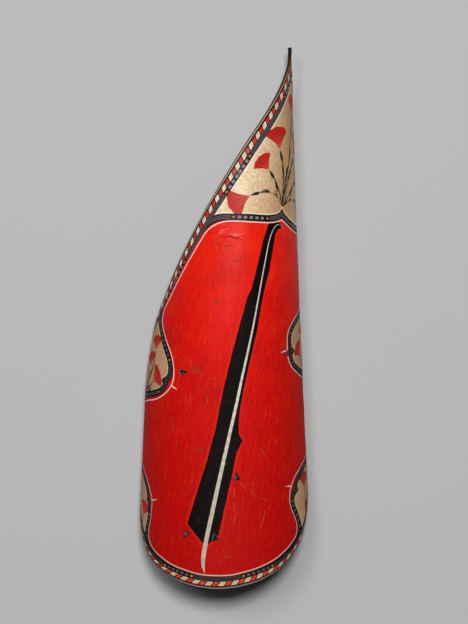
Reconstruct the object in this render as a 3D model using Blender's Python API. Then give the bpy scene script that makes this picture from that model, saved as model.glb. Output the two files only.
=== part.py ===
# A Hungarian shield lying hollow side down on its two long edges, its point towards +Y.
# Lengths are in metres and angles in degrees. "Drop" is the distance back from the point
# along the shield, "across" runs from -1 at the left resting edge to 1 at the right one.
import math

import bmesh
import bpy
from mathutils import Matrix, Vector

# The vault: a half round on two low upright walls
LENGTH = 0.928
TIP_RADIUS = 0.0878
TAPER = 0.045
SWELL = 0.0236
SWELL_FROM = 0.205
SWELL_LENGTH = 0.410
WALL_HEIGHT = 0.047
LEAN = 0.0238
LEAN_GROWTH = 0.0174
THICKNESS = 0.008
RIM_THICKNESS = 0.004
RIM_BEVEL = 0.034

# The top outline, from the point down both sides to the low corner, given by its height
# above the foot
POINT_ACROSS = 0.118
POINT_BLUNT = 0.0015
POINT_LENGTH = 0.018
POINT_WIDTH = 0.003
LOW_CORNER_RISE = 0.386
SWEEP_ACROSS = 0.010
SWEEP_EXTRA = 0.24
FLARE_ACROSS = -0.158
FLARE_EASE = 0.77
BEND_LENGTH = 0.009
TOP_CORNER = 0.022

# The rounded foot
FOOT_ACROSS = -0.014
FOOT_HALF_WIDTH = 0.268
FOOT_DEPTH = 0.318
FOOT_ROUND_SHARE = 0.75
FOOT_CORNER = 0.040

# Nails: arc from the crown line, height above the foot, turn of the head, side of the head
NAILS = {
    "nail_left_field": (-0.0744, 0.365, 0.0, 0.0165),
    "nail_beside_feather": (0.0213, 0.188, 90.0, 0.0160),
    "nail_feather_left": (-0.0668, 0.092, 9.0, 0.0140),
    "nail_feather_right": (-0.0159, 0.087, -18.0, 0.0170),
    "nail_right_cusp": (0.1217, 0.397, 60.0, 0.0130),
}
HEAD_RISE_SHARE = 0.42
SHANK_RADIUS = 0.0015
CLINCH_LENGTH = 0.013
CLINCH_BEND = 0.0007
CLINCH_POINT_SHARE = 0.35
CLINCH_GAP = 0.0005
GAP = 0.0003

# Facets
LEFT_COLUMNS = 40
RIGHT_COLUMNS = 18
ROWS = 26
CROWDING = 0.84
NAIL_SIDES = 12
BEND_STEPS = 3
SETTLE_ROUNDS = 40
SHARP_ANGLE = 30.0


def smooth(x):
    x = max(0.0, min(1.0, x))
    return x * x * (3.0 - 2.0 * x)


def soft(x):
    """Zero before the bend and x after it, rounded over the bend's length."""
    q = x / BEND_LENGTH
    return x if q > 30.0 else BEND_LENGTH * math.log1p(math.exp(q))


def crowd(i, n):
    """Step i of n from 0 to 1, closer together towards both ends."""
    u = i / n
    return u - CROWDING * math.sin(2.0 * math.pi * u) / (2.0 * math.pi)


def vault_radius(drop):
    return TIP_RADIUS + TAPER * drop + SWELL * smooth((drop - SWELL_FROM) / SWELL_LENGTH)


def right_wall(drop):
    return LEAN * drop + LEAN_GROWTH * drop * drop


def half_width(drop):
    return vault_radius(drop) * math.pi / 2.0 + WALL_HEIGHT


def place(arc, drop, depth=0.0):
    """The point at an arc from the crown line and a drop, so deep below the outer face."""
    r = vault_radius(drop)
    centre = right_wall(drop) - r
    y = LENGTH / 2.0 - drop
    quarter = r * math.pi / 2.0
    if abs(arc) <= quarter:
        turn = arc / r
        return Vector((
            centre + (r - depth) * math.sin(turn),
            y,
            WALL_HEIGHT + (r - depth) * math.cos(turn),
        ))
    side = math.copysign(1.0, arc)
    return Vector((centre + side * (r - depth), y, WALL_HEIGHT - (abs(arc) - quarter)))


def rounding(across, radius):
    """How far a corner of this radius draws the outline in, next to a resting edge."""
    inside = (1.0 - abs(across)) * half_width(LENGTH / 2.0)
    if inside >= radius:
        return 0.0
    return radius - math.sqrt(max(0.0, radius * radius - (radius - inside) ** 2))


def bends(arc):
    """What the long sweep and the flare at the low side add to the shoulder's even slope."""
    return SWEEP_EXTRA * soft(SWEEP_ACROSS - arc) - FLARE_EASE * soft(FLARE_ACROSS - arc)


def shoulder_slope():
    """The slope that ends at the low corner."""
    drop = LENGTH - LOW_CORNER_RISE
    arc = -half_width(drop)
    return (drop - POINT_LENGTH - bends(arc)) / (POINT_ACROSS - arc)


def sweep(arc):
    """A slender point that opens into a shoulder, a long sweep and a flare."""
    away = math.hypot(arc - POINT_ACROSS, POINT_BLUNT) - POINT_BLUNT
    drop = POINT_LENGTH * (1.0 - math.exp(-away / POINT_WIDTH)) + shoulder_slope() * away
    return drop + bends(arc)


def foot(arc):
    """Part of an ellipse, running on straight to either side of it."""
    away = abs(arc - FOOT_ACROSS)
    near = min(away, FOOT_ROUND_SHARE * FOOT_HALF_WIDTH)
    part = near / FOOT_HALF_WIDTH
    flat = math.sqrt(1.0 - part * part)
    slope = FOOT_DEPTH / FOOT_HALF_WIDTH * part / flat
    return LENGTH - FOOT_DEPTH * (1.0 - flat) - slope * (away - near)


def top_drop(across):
    drop = 0.0
    for _ in range(SETTLE_ROUNDS):
        drop = sweep(across * half_width(drop))
    return drop + rounding(across, TOP_CORNER)


def foot_drop(across):
    drop = LENGTH
    for _ in range(SETTLE_ROUNDS):
        drop = foot(across * half_width(drop))
    return drop - rounding(across, FOOT_CORNER)


def columns():
    point = POINT_ACROSS / half_width(0.0)
    left = [-1.0 + (point + 1.0) * crowd(i, LEFT_COLUMNS) for i in range(LEFT_COLUMNS)]
    return left + [point + (1.0 - point) * crowd(i, RIGHT_COLUMNS) for i in range(RIGHT_COLUMNS + 1)]


def slopes(across, drops):
    """The steeper of an outline's two slopes at each column."""
    steps = []
    for i in range(len(drops) - 1):
        step = (across[i + 1] - across[i]) * half_width(drops[i])
        steps.append(abs(drops[i + 1] - drops[i]) / step)
    return [max(steps[max(i - 1, 0)], steps[min(i, len(steps) - 1)]) for i in range(len(drops))]


def board_grid():
    """Outer and inner points, column by column; the board thins towards every rim."""
    across = columns()
    tops = [top_drop(a) for a in across]
    feet = [foot_drop(a) for a in across]
    top_slopes, foot_slopes = slopes(across, tops), slopes(across, feet)
    outer, inner = [], []
    for i, a in enumerate(across):
        outer.append([])
        inner.append([])
        for j in range(ROWS + 1):
            drop = tops[i] + (feet[i] - tops[i]) * crowd(j, ROWS)
            arc = a * half_width(drop)
            rim = min(
                (drop - tops[i]) / math.hypot(1.0, top_slopes[i]),
                (feet[i] - drop) / math.hypot(1.0, foot_slopes[i]),
                (1.0 - abs(a)) * half_width(drop),
            )
            depth = RIM_THICKNESS + (THICKNESS - RIM_THICKNESS) * smooth(rim / RIM_BEVEL)
            outer[i].append(place(arc, drop))
            inner[i].append(place(arc, drop, depth))
    return outer, inner


def material(name, colour, roughness, metallic=0.0):
    made = bpy.data.materials.new(name)
    made.use_nodes = True
    shader = made.node_tree.nodes["Principled BSDF"]
    shader.inputs["Base Color"].default_value = (*colour, 1.0)
    shader.inputs["Roughness"].default_value = roughness
    shader.inputs["Metallic"].default_value = metallic
    made.diffuse_color = (*colour, 1.0)
    return made


def add_object(name, bm, made):
    bmesh.ops.recalc_face_normals(bm, faces=bm.faces)
    mesh = bpy.data.meshes.new(name)
    bm.to_mesh(mesh)
    bm.free()
    mesh.materials.append(made)
    for face in mesh.polygons:
        face.use_smooth = True
    added = bpy.data.objects.new(name, mesh)
    bpy.context.scene.collection.objects.link(added)
    return added


def make_board(made):
    outer, inner = board_grid()
    sides = [p.x for line in outer for p in line]
    middle = (min(sides) + max(sides)) / 2.0
    bm = bmesh.new()
    out = [[bm.verts.new((p.x - middle, p.y, p.z)) for p in line] for line in outer]
    inn = [[bm.verts.new((p.x - middle, p.y, p.z)) for p in line] for line in inner]
    last, end = len(out) - 1, ROWS
    for i in range(last):
        for j in range(end):
            bm.faces.new((out[i][j], out[i][j + 1], out[i + 1][j + 1], out[i + 1][j]))
            bm.faces.new((inn[i][j], inn[i + 1][j], inn[i + 1][j + 1], inn[i][j + 1]))
        bm.faces.new((out[i][0], out[i + 1][0], inn[i + 1][0], inn[i][0]))
        bm.faces.new((out[i][end], inn[i][end], inn[i + 1][end], out[i + 1][end]))
    for j in range(end):
        bm.faces.new((out[0][j], inn[0][j], inn[0][j + 1], out[0][j + 1]))
        bm.faces.new((out[last][j], out[last][j + 1], inn[last][j + 1], inn[last][j]))
    return add_object("shield_board", bm, made), middle


def nail_frame(arc, height, middle):
    """Where a nail goes in: its own z points out of the board, its y towards the point."""
    drop = LENGTH - height
    near = SHANK_RADIUS / 2.0
    here = place(arc, drop)
    along = (place(arc, drop - near) - place(arc, drop + near)).normalized()
    over = (place(arc + near, drop) - place(arc - near, drop)).normalized()
    out = over.cross(along).normalized()
    over = along.cross(out)
    turned = Matrix((over, along, out)).transposed().to_4x4()
    return Matrix.Translation(here - Vector((middle, 0.0, 0.0))) @ turned


def make_nail(name, frame, turn, width, made):
    """A pyramid on three sides, its shank through the board and its point bent over."""
    steps = [2.0 * math.pi * k / NAIL_SIDES for k in range(NAIL_SIDES)]
    corner = width / math.sqrt(3.0)
    third = 2.0 * math.pi / 3.0
    bm = bmesh.new()
    head = []
    for step in steps:
        reach = corner / 2.0 / math.cos((step % third) - third / 2.0)
        facing = step + math.radians(turn)
        head.append(bm.verts.new((reach * math.cos(facing), reach * math.sin(facing), GAP)))
    apex = bm.verts.new((0.0, 0.0, GAP + HEAD_RISE_SHARE * width))
    low = THICKNESS + CLINCH_GAP + SHANK_RADIUS
    bend = SHANK_RADIUS + CLINCH_BEND
    path = [(0.0, GAP, 0.0, SHANK_RADIUS)]
    for k in range(BEND_STEPS + 1):
        lean = math.pi / 2.0 * k / BEND_STEPS
        path.append((bend - bend * math.cos(lean), bend - low - bend * math.sin(lean), lean, SHANK_RADIUS))
    path.append((bend + CLINCH_LENGTH, -low, math.pi / 2.0, SHANK_RADIUS * CLINCH_POINT_SHARE))
    rings = [head]
    for y, z, lean, radius in path:
        ring = []
        for step in steps:
            facing = step + math.radians(turn)
            side, up = radius * math.cos(facing), radius * math.sin(facing)
            ring.append(bm.verts.new((side, y + up * math.cos(lean), z + up * math.sin(lean))))
        rings.append(ring)
    for a, b in zip(rings, rings[1:]):
        for k in range(NAIL_SIDES):
            n = (k + 1) % NAIL_SIDES
            bm.faces.new((a[k], a[n], b[n], b[k]))
    for k in range(NAIL_SIDES):
        bm.faces.new((apex, head[(k + 1) % NAIL_SIDES], head[k]))
    bm.faces.new(rings[-1])
    nail = add_object(name, bm, made)
    nail.data.set_sharp_from_angle(angle=math.radians(SHARP_ANGLE))
    nail.matrix_world = frame
    return nail


def cut_hole(board, name, frame):
    bm = bmesh.new()
    bmesh.ops.create_cone(
        bm, cap_ends=True, segments=NAIL_SIDES,
        radius1=SHANK_RADIUS + GAP, radius2=SHANK_RADIUS + GAP, depth=THICKNESS * 4.0,
    )
    drill = add_object("drill_" + name, bm, board.data.materials[0])
    drill.matrix_world = frame
    drill.hide_render = True
    drill.display_type = "WIRE"
    hole = board.modifiers.new("hole_" + name, "BOOLEAN")
    hole.operation = "DIFFERENCE"
    hole.solver = "EXACT"
    hole.object = drill


for old in list(bpy.data.objects):
    bpy.data.objects.remove(old, do_unlink=True)

paint = material("painted wood", (0.50, 0.008, 0.004), 0.34)
iron = material("wrought iron", (0.035, 0.030, 0.027), 0.55, 1.0)

board, middle = make_board(paint)
board.data.set_sharp_from_angle(angle=math.radians(SHARP_ANGLE))
for name, (arc, height, turn, width) in NAILS.items():
    frame = nail_frame(arc, height, middle)
    make_nail(name, frame, turn, width, iron)
    cut_hole(board, name, frame)
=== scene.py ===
import math
from functools import partial

import bpy
import numpy as np
from mathutils import Matrix, Vector, noise


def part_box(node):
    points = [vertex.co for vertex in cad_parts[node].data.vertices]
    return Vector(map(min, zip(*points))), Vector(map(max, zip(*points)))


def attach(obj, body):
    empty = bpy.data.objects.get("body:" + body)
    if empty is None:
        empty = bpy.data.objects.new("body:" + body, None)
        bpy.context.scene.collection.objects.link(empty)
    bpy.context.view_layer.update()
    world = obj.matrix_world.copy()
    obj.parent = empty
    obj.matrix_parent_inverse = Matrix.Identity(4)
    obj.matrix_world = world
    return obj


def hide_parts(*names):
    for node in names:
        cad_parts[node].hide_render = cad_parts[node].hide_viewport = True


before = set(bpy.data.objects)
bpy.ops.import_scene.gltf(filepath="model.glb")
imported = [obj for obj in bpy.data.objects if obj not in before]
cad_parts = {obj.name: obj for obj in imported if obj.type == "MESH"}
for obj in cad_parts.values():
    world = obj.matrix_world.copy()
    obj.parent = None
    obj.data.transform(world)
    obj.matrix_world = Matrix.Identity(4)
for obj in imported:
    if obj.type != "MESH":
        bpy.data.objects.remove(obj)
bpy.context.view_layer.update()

mm = 0.001
farAway = 1e9

# The board is worked out flat first: arc is the way round from the crown line, left is minus,
# and drop is the way back from the point, both in millimetres on the painted face.

boardSizes = {
    "length": 928.0,
    "tipRadius": 87.8,
    "taper": 0.045,
    "swell": 23.6,
    "swellFrom": 205.0,
    "swellLength": 410.0,
    "wallHeight": 47.0,
    "lean": 0.0238,
    "leanGrowth": 0.0000174,
    "thickness": 8.0,
    "rimThickness": 4.0,
    "rimBevel": 34.0,
    "rimRounding": 0.6,
    "rimRoundingReach": 2.0,
    "pointSwell": 2.3,      # the handled point bulges a little outwards
    "pointSwellReach": 26.0,
    "pointSwellInside": 0.4,   # and inwards by that share of it
    "unevenness": 0.5,      # how far the hand-shaped face wanders
    "unevenSpan": 46.0,
    "unevenFrom": 60.0,     # less so this near to the rim
    "smoothAngle": 40.0,
    "columns": 178,
    "rows": 256,
}

outlineSizes = {
    "pointArc": 118.0,
    "pointBlunt": 1.5,
    "pointLength": 18.0,
    "pointWidth": 3.0,
    "lowCornerRise": 386.0,
    "sweepArc": 10.0,
    "sweepExtra": 0.24,
    "flareArc": -158.0,
    "flareEase": 0.77,
    "bendLength": 9.0,
    "topCorner": 22.0,
    "footArc": -14.0,
    "footHalfWidth": 268.0,
    "footDepth": 318.0,
    "footRoundShare": 0.75,
    "footCorner": 40.0,
    "rounds": 40,           # the outline is worked out by that many rounds of coming nearer
}


def smooth(x):
    x = np.clip(x, 0.0, 1.0)
    return x * x * (3.0 - 2.0 * x)


def vaultRadius(drop):
    b = boardSizes
    swelling = b["swell"] * smooth((drop - b["swellFrom"]) / b["swellLength"])
    return b["tipRadius"] + b["taper"] * drop + swelling


def halfWidth(drop):
    return vaultRadius(drop) * math.pi / 2.0 + boardSizes["wallHeight"]


def bend(arc, drop, depth):
    # the flat place bent to the half round and its two low walls
    radius = vaultRadius(drop)
    quarter = radius * math.pi / 2.0
    centre = boardSizes["lean"] * drop + boardSizes["leanGrowth"] * drop * drop - radius
    turn = np.clip(arc, -quarter, quarter) / radius
    below = np.abs(arc) - np.minimum(np.abs(arc), quarter)
    x = centre + (radius - depth) * np.sin(turn)
    z = boardSizes["wallHeight"] + (radius - depth) * np.cos(turn) - below
    return np.stack([x, boardSizes["length"] / 2.0 - drop, z], axis=-1)


def softBend(x):
    return outlineSizes["bendLength"] * np.logaddexp(0.0, x / outlineSizes["bendLength"])


def sweepBends(arc):
    o = outlineSizes
    sweep = o["sweepExtra"] * softBend(o["sweepArc"] - arc)
    return sweep - o["flareEase"] * softBend(o["flareArc"] - arc)


def cornerRounding(across, radius):
    inside = (1.0 - np.abs(across)) * halfWidth(boardSizes["length"] / 2.0)
    cut = radius - np.sqrt(np.maximum(0.0, radius * radius - (radius - inside) ** 2))
    return np.where(inside >= radius, 0.0, cut)


def topOutline(across):
    # across goes from -1 at the left long edge to 1 at the right one
    o = outlineSizes
    corner = boardSizes["length"] - o["lowCornerRise"]
    cornerArc = -halfWidth(corner)
    slope = (corner - o["pointLength"] - sweepBends(cornerArc)) / (o["pointArc"] - cornerArc)
    drop = np.zeros_like(across)
    for _ in range(o["rounds"]):
        arc = across * halfWidth(drop)
        away = np.hypot(arc - o["pointArc"], o["pointBlunt"]) - o["pointBlunt"]
        point = o["pointLength"] * (1.0 - np.exp(-away / o["pointWidth"]))
        drop = point + slope * away + sweepBends(arc)
    return drop + cornerRounding(across, o["topCorner"])


def footOutline(across):
    o = outlineSizes
    drop = np.full_like(across, boardSizes["length"])
    for _ in range(o["rounds"]):
        away = np.abs(across * halfWidth(drop) - o["footArc"])
        near = np.minimum(away, o["footRoundShare"] * o["footHalfWidth"])
        part = near / o["footHalfWidth"]
        flat = np.sqrt(1.0 - part * part)
        steep = o["footDepth"] / o["footHalfWidth"] * part / flat
        drop = boardSizes["length"] - o["footDepth"] * (1.0 - flat) - steep * (away - near)
    return drop - cornerRounding(across, o["footCorner"])


def crowded(t):
    # 0 to 1, with small steps at the start
    reach = 0.06
    close = 0.88 * reach
    return (t - close * (1.0 - np.exp(-t / reach))) / (1.0 - close * (1.0 - math.exp(-1.0 / reach)))


def columnPlace(u):
    # even columns, but close together next to the point, where the board is only a few mm wide
    point = outlineSizes["pointArc"] / halfWidth(0.0)
    split = (point + 1.0) / 2.0
    left = point - (point + 1.0) * crowded(np.clip((split - u) / split, 0.0, 1.0))
    right = point + (1.0 - point) * crowded(np.clip((u - split) / (1.0 - split), 0.0, 1.0))
    return np.where(u <= split, left, right)


def rowPlace(v):
    # rows closer together along the two painted ends
    closeness = 0.3
    return v - closeness / (2.0 * math.pi) * np.sin(2.0 * math.pi * v)


# Lines and fields on the flat board

def through(points, step=4.0):
    # a smooth line through a few chosen points
    p = np.array(points, float)
    made = []
    for i in range(len(p) - 1):
        a, b, c, d = p[max(i - 1, 0)], p[i], p[i + 1], p[min(i + 2, len(p) - 1)]
        parts = max(1, int(np.hypot(*(c - b)) / step))
        for t in np.arange(parts) / parts:
            square = (2 * a - 5 * b + 4 * c - d) * t * t
            made.append(0.5 * (2 * b + (c - a) * t + square + (3 * b - a - 3 * c + d) * t ** 3))
    made.append(p[-1])
    return np.array(made)


def nearestOn(places, line):
    # distance to a line, the same with a sign for its side, and the way along it
    best = np.full(len(places), farAway)
    offset = np.zeros(len(places))
    run = np.zeros(len(places))
    travelled = 0.0
    for a, b in zip(line[:-1], line[1:]):
        span = b - a
        length = math.hypot(span[0], span[1])
        if length < 1e-6:
            continue
        dx = places[:, 0] - a[0]
        dy = places[:, 1] - a[1]
        t = np.clip((dx * span[0] + dy * span[1]) / length ** 2, 0.0, 1.0)
        gap = np.hypot(dx - t * span[0], dy - t * span[1])
        closer = gap < best
        side = np.sign(span[0] * dy - span[1] * dx)
        best = np.where(closer, gap, best)
        offset = np.where(closer, gap * side, offset)
        run = np.where(closer, travelled + t * length, run)
        travelled += length
    return best, offset, run


def insideOf(places, line):
    x, y = places[:, 0], places[:, 1]
    odd = np.zeros(len(places), bool)
    for a, b in zip(line, np.roll(line, -1, axis=0)):
        if a[1] == b[1]:
            continue
        crosses = (a[1] > y) != (b[1] > y)
        odd ^= crosses & (x < a[0] + (y - a[1]) * (b[0] - a[0]) / (b[1] - a[1]))
    return odd


def shapeField(places, line):
    # distance outside a closed line, minus inside
    gap = nearestOn(places, np.vstack([line, line[:1]]))[0]
    return np.where(insideOf(places, line), -gap, gap)


def blendMin(a, b, width):
    # the smaller of two fields, with the corner between them rounded
    h = np.clip(width - np.abs(a - b), 0.0, None) / width
    return np.minimum(a, b) - h * h * width / 4.0


def strokeField(places, strokes):
    # offset from the nearest stroke and its half width there, which is minus where none is near
    nearness = 3.2
    noStroke = -3.0
    best = np.full(len(places), farAway)
    offset = np.full(len(places), 50.0)
    half = np.full(len(places), noStroke)
    for points, widths in strokes:
        line = through(points)
        gap, side, run = nearestOn(places, line)
        total = np.sum(np.hypot(*np.diff(line, axis=0).T))
        wide = np.interp(run / total, np.linspace(0.0, 1.0, len(widths)), widths) / 2.0
        closer = gap - wide < best
        best = np.where(closer, gap - wide, best)
        offset = np.where(closer, side, offset)
        half = np.where(closer, np.where(gap < wide + nearness, wide, noStroke), half)
    return offset, half


def brushWander(places, size, amount):
    # an unsteady hand: a smooth waver of about the size given, in mm
    x, y = places[:, 0] / size, places[:, 1] / size
    waver = np.sin(x + 1.7 * np.sin(0.7 * y)) * np.cos(1.1 * y + 1.3 * np.sin(0.9 * x))
    return amount * (waver + 0.5 * np.sin(2.3 * x - 1.9 * y + np.sin(1.7 * y)))


# The painted pattern, all in millimetres on the flat board

borderSizes = {
    "blackWidth": 21.5,
    "widestAtPoint": 1.27,  # the border's width at the point, as a share of that in the middle of the foot
    "narrowing": 0.0009,    # how fast that share falls, for each mm down the sweep
    "sideShare": 0.78,      # the share along the long sides
    "footEven": 60.0,       # to either side of the foot's middle it keeps its width for that long
    "footEasing": 110.0,
    "sideCrowding": 1.4,    # the pattern keeps closer to the rim along the sides, by that factor
    "rightNarrowing": 0.34,  # the right side's share is smaller by that, from there on along the rim
    "rightFrom": 170.0,
    "rightEasing": 70.0,
    "chequerMiddle": 9.5,
    "chequerHalf": 3.2,
    "chequerSlant": 0.9,
    "footPitch": 23.3,      # one red and one cream patch
    "footStart": -1.6,      # a red patch, that far right of the foot's middle
    "topPitch": 21.4,
    "topStart": 192.0,      # a red patch, that far down the sweep from the point
    "sidePitch": 22.6,
    "stripeMiddle": 17.2,
    "stripeHalf": 2.1,
    "ochreMiddle": 1.5,
    "ochreGap": 97.0,       # fine lines between two ochre marks, then bars
    "barredLength": 60.0,
    "barPitch": 9.8,
    "topOchres": (17, 90, 219, 292, 432, 505),
    "topBarPitch": 10.4,
    "bandWidth": 11.8,
    "bandOchres": (31, 92, 225, 285),   # from each cusp
    "bandStripeHalf": 2.2,
    "whiteInset": 1.3,     # the white line's middle, from the black of a band
    "whiteInsetFoot": 1.7,
    "whiteInsetSweep": 4.0,
    "cornerBlend": 24.0,
    "edgeWaver": (13.0, 0.16),   # an unsteady hand: the size and amount of its waver
    "lineWaver": (17.0, 0.3),
    "vaneWaver": (9.0, 0.25),
}

# The edges of the panels, where black meets red, one for each lobe, run on past the rim
lobes = {
    "bouquetLeft": [
        (-140, 304), (-50, 303), (1, 302.5), (44, 304.5), (64, 304), (78, 301.5), (86.5, 297), (95, 287),
        (104, 270), (130, 235), (230, 150), (230, -60), (-140, -60),
    ],
    "bouquetRight": [
        (290, 350), (168, 324), (132, 318), (110, 310.5), (97, 304), (86.5, 297), (78, 286),
        (70, 268), (50, 235), (-40, 150), (-40, -60), (290, -60),
    ],
    "sweepUpper": [
        (-215, 395), (-180, 435), (-151, 473), (-133, 496), (-122, 513), (-108, 533), (-102, 546),
        (-99.5, 560), (-102, 572), (-107, 577), (-111, 579.5), (-119, 583), (-134, 589), (-160, 594),
        (-330, 598), (-330, 395),
    ],
    "sweepLower": [
        (-330, 610), (-185, 607), (-143, 603), (-127, 599), (-117, 593.5), (-111, 587.5), (-109.5, 583),
        (-111, 579.5), (-118, 572), (-130, 556), (-150, 530), (-330, 480),
    ],
    "medallionUpper": [
        (330, 400), (230, 432), (169, 460), (150, 470), (136, 481), (126, 493), (123, 505), (124.5, 517),
        (130, 528.5), (142, 536), (165, 546), (200, 556), (330, 572),
    ],
    "medallionLower": [
        (330, 595), (186, 571), (156, 563), (141, 556), (133, 548), (129.5, 540), (130, 528.5),
        (143, 519), (160, 504), (185, 485), (330, 440),
    ],
    "rightUpper": [
        (330, 690), (225, 708), (200, 714), (179, 724), (160, 735), (148, 745), (141, 757), (141, 764),
        (150, 774), (167, 791), (185, 815), (330, 850),
    ],
    "rightLower": [
        (190, 900), (171, 862), (156, 834), (142, 810), (133, 796), (129.5, 783), (132, 772),
        (141, 764), (153, 757), (170, 747), (200, 738), (330, 715), (330, 900),
    ],
    "leftUpper": [
        (-330, 690), (-240, 712), (-205, 727), (-188, 735), (-174, 747), (-164, 759), (-158.5, 772),
        (-156.5, 783), (-166, 794), (-181, 812), (-205, 840), (-330, 880),
    ],
    "leftLower": [
        (-190, 900), (-174, 862), (-162, 836), (-154.5, 818), (-153, 804), (-154, 792), (-156.5, 783),
        (-166, 774), (-182, 766), (-215, 758), (-330, 740), (-330, 900),
    ],
}

# Two lobes to a panel, the cusp where they meet, how widely the white line rounds it, how far the
# black reaches past the lobes, and how much farther from the cusp the ochre marks start on each
panels = [
    ("bouquetLeft", "bouquetRight", (86.5, 297), 6.0, 2.0, 2.0, 0.0),
    ("sweepUpper", "sweepLower", (-111, 579.5), 30.0, 2.8, 12.0, 1.0),
    ("medallionUpper", "medallionLower", (130, 528.5), 20.0, 0.0, 6.0, -6.0),
    ("rightUpper", "rightLower", (141, 764), 28.0, 0.6, 30.0, -6.0),
    ("leftUpper", "leftLower", (-156.5, 783), 24.0, 0.0, 30.0, -5.0),
]

featherVane = [
    (58, 309), (50, 338), (36, 421), (30, 434), (19, 491), (-15, 661), (-29, 711), (-65, 819),
    (-36, 852), (-29, 854), (-10, 838), (12, 744), (22, 697), (32, 678), (25, 667), (26, 634),
    (53, 491), (59, 431), (67, 389), (74, 327), (80, 318), (93, 317), (85, 309), (76, 306),
]
quill = [
    (90, 316), (84, 311), (77, 311), (70, 317), (62, 338), (55, 390), (44, 491), (26, 594),
    (11, 661), (-16, 779), (-31.5, 848), (-36, 871),
]
quillWidths = (1.2, 2.0, 2.6, 3.6, 4.8, 5.8, 6.8, 7.2)
quillEnd = [(-35.6, 869), (-36.8, 880), (-36.6, 890), (-34.5, 900)]
quillEndWidths = (7.2, 6.8, 5.4, 0.8)

cuspTicks = [
    ([(-96.5, 587.5), (-93, 589), (-86, 592.5)], (2.4, 2.0, 0.6)),
    ([(118, 527.5), (112, 528.5), (105, 531)], (3.2, 2.0, 0.6)),
    ([(131, 759), (126, 758), (119, 758.5)], (3.2, 2.0, 0.6)),
    ([(-148.5, 783), (-142, 783), (-133, 781)], (3.2, 2.0, 0.6)),
]

# Fan flowers: where each springs from, its far middle and its half angle in degrees
bouquetAxis = ((86.5, 287), (118, 98))
bouquetFans = [((78, 181), (69, 142), 43), ((55, 218), (34, 195), 44), ((20, 262), (-16, 281), 41)]
middleFans = [((121, 118), (119, 82), 30)]
bouquetStems = [
    ([(86, 279), (87.5, 243), (89, 221), (86, 205), (82, 192), (79, 184)], (1.8, 2.2, 2.2, 2.4, 2.2, 1.8)),
    ([(79.5, 184), (81.5, 191), (84.5, 203)], (2.2, 7.4, 1.2)),
    ([(86, 279), (79, 257), (71, 240), (64, 229), (56, 219)], (1.6, 1.8, 2.2, 2.4, 1.8)),
    ([(56, 219), (60.5, 225.5), (66, 234)], (2.2, 7.2, 1.2)),
    ([(86, 279), (74, 265), (58, 257), (39, 256), (22, 261.5)], (1.6, 1.8, 2.0, 2.2, 2.0)),
    ([(22, 261.5), (31, 258.5), (40, 256)], (2.0, 6.6, 1.4)),
    ([(84, 211), (88, 222), (89.5, 232)], (0.8, 4.4, 0.8)),
    ([(68, 236), (70, 245), (75, 254)], (0.8, 4.4, 0.8)),
    ([(44, 252), (52, 252.5), (62, 257)], (0.8, 3.8, 0.8)),
    ([(60, 257), (70, 259.5), (78, 267)], (0.8, 4.2, 0.8)),
    ([(98, 209), (97.5, 220), (96, 229)], (0.8, 4.4, 0.8)),
]
middleStems = [
    ([(87, 279), (91, 251), (102, 214), (111, 161), (120, 120)], (1.6, 2.0, 2.6, 2.6, 4.4)),
    ([(90, 262), (94, 244), (93, 228)], (0.8, 4.4, 0.8)),
    ([(106, 200), (110, 184), (109, 170)], (0.8, 4.4, 0.8)),
]
cornerFans = [
    ((-153, 527), (-153, 500), 56), ((-171, 557), (-173, 528), 50), ((-154, 580), (-130, 564), 56),
    ((-200, 580), (-206, 554), 50),
    ((178, 539), (155, 515), 40), ((196, 505), (184, 480), 48), ((216, 548), (204, 520), 46),
    ((182, 766), (180, 736), 52), ((208, 792), (184, 804), 48), ((222, 754), (226, 726), 46),
    ((-186, 814), (-176, 787), 52), ((-222, 802), (-230, 774), 46),
]
cornerStems = [
    ([(-222, 606), (-180, 588), (-160, 560), (-154, 542), (-153, 529)], (2.0, 1.6, 2.0, 4.6, 1.2)),
    ([(-222, 606), (-192, 588), (-176, 570), (-172, 558)], (1.8, 1.8, 4.2, 1.2)),
    ([(-222, 606), (-190, 596), (-166, 588), (-153, 580)], (1.8, 1.8, 4.6, 1.4)),
    ([(-222, 606), (-210, 594), (-201, 582)], (1.8, 3.6, 1.2)),
    ([(-172, 576), (-166, 568), (-160, 556)], (0.4, 4.0, 0.4)),
    ([(-180, 598), (-168, 596), (-156, 592)], (0.4, 3.6, 0.4)),
    ([(236, 568), (206, 556), (186, 545), (175, 539)], (2.0, 1.6, 4.2, 1.2)),
    ([(236, 568), (222, 540), (206, 520), (197, 507)], (2.0, 1.6, 4.2, 1.2)),
    ([(236, 568), (222, 558), (215, 550)], (1.8, 3.6, 1.2)),
    ([(212, 512), (206, 500), (204, 488)], (0.4, 4.0, 0.4)),
    ([(230, 862), (212, 830), (196, 800), (187, 776), (184, 765)], (2.0, 1.8, 1.8, 4.4, 1.2)),
    ([(230, 862), (222, 828), (214, 800), (208, 791)], (2.0, 1.8, 4.2, 1.2)),
    ([(230, 862), (232, 810), (226, 776), (222, 754)], (2.0, 1.8, 4.2, 1.2)),
    ([(176, 812), (186, 832), (200, 850)], (0.4, 5.0, 0.4)),
    ([(-230, 862), (-206, 838), (-190, 822), (-184, 813)], (2.0, 1.8, 4.2, 1.2)),
    ([(-230, 862), (-234, 830), (-226, 810), (-222, 802)], (2.0, 1.8, 4.2, 1.2)),
    ([(-182, 836), (-196, 850), (-212, 864)], (0.4, 5.0, 0.4)),
]

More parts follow.
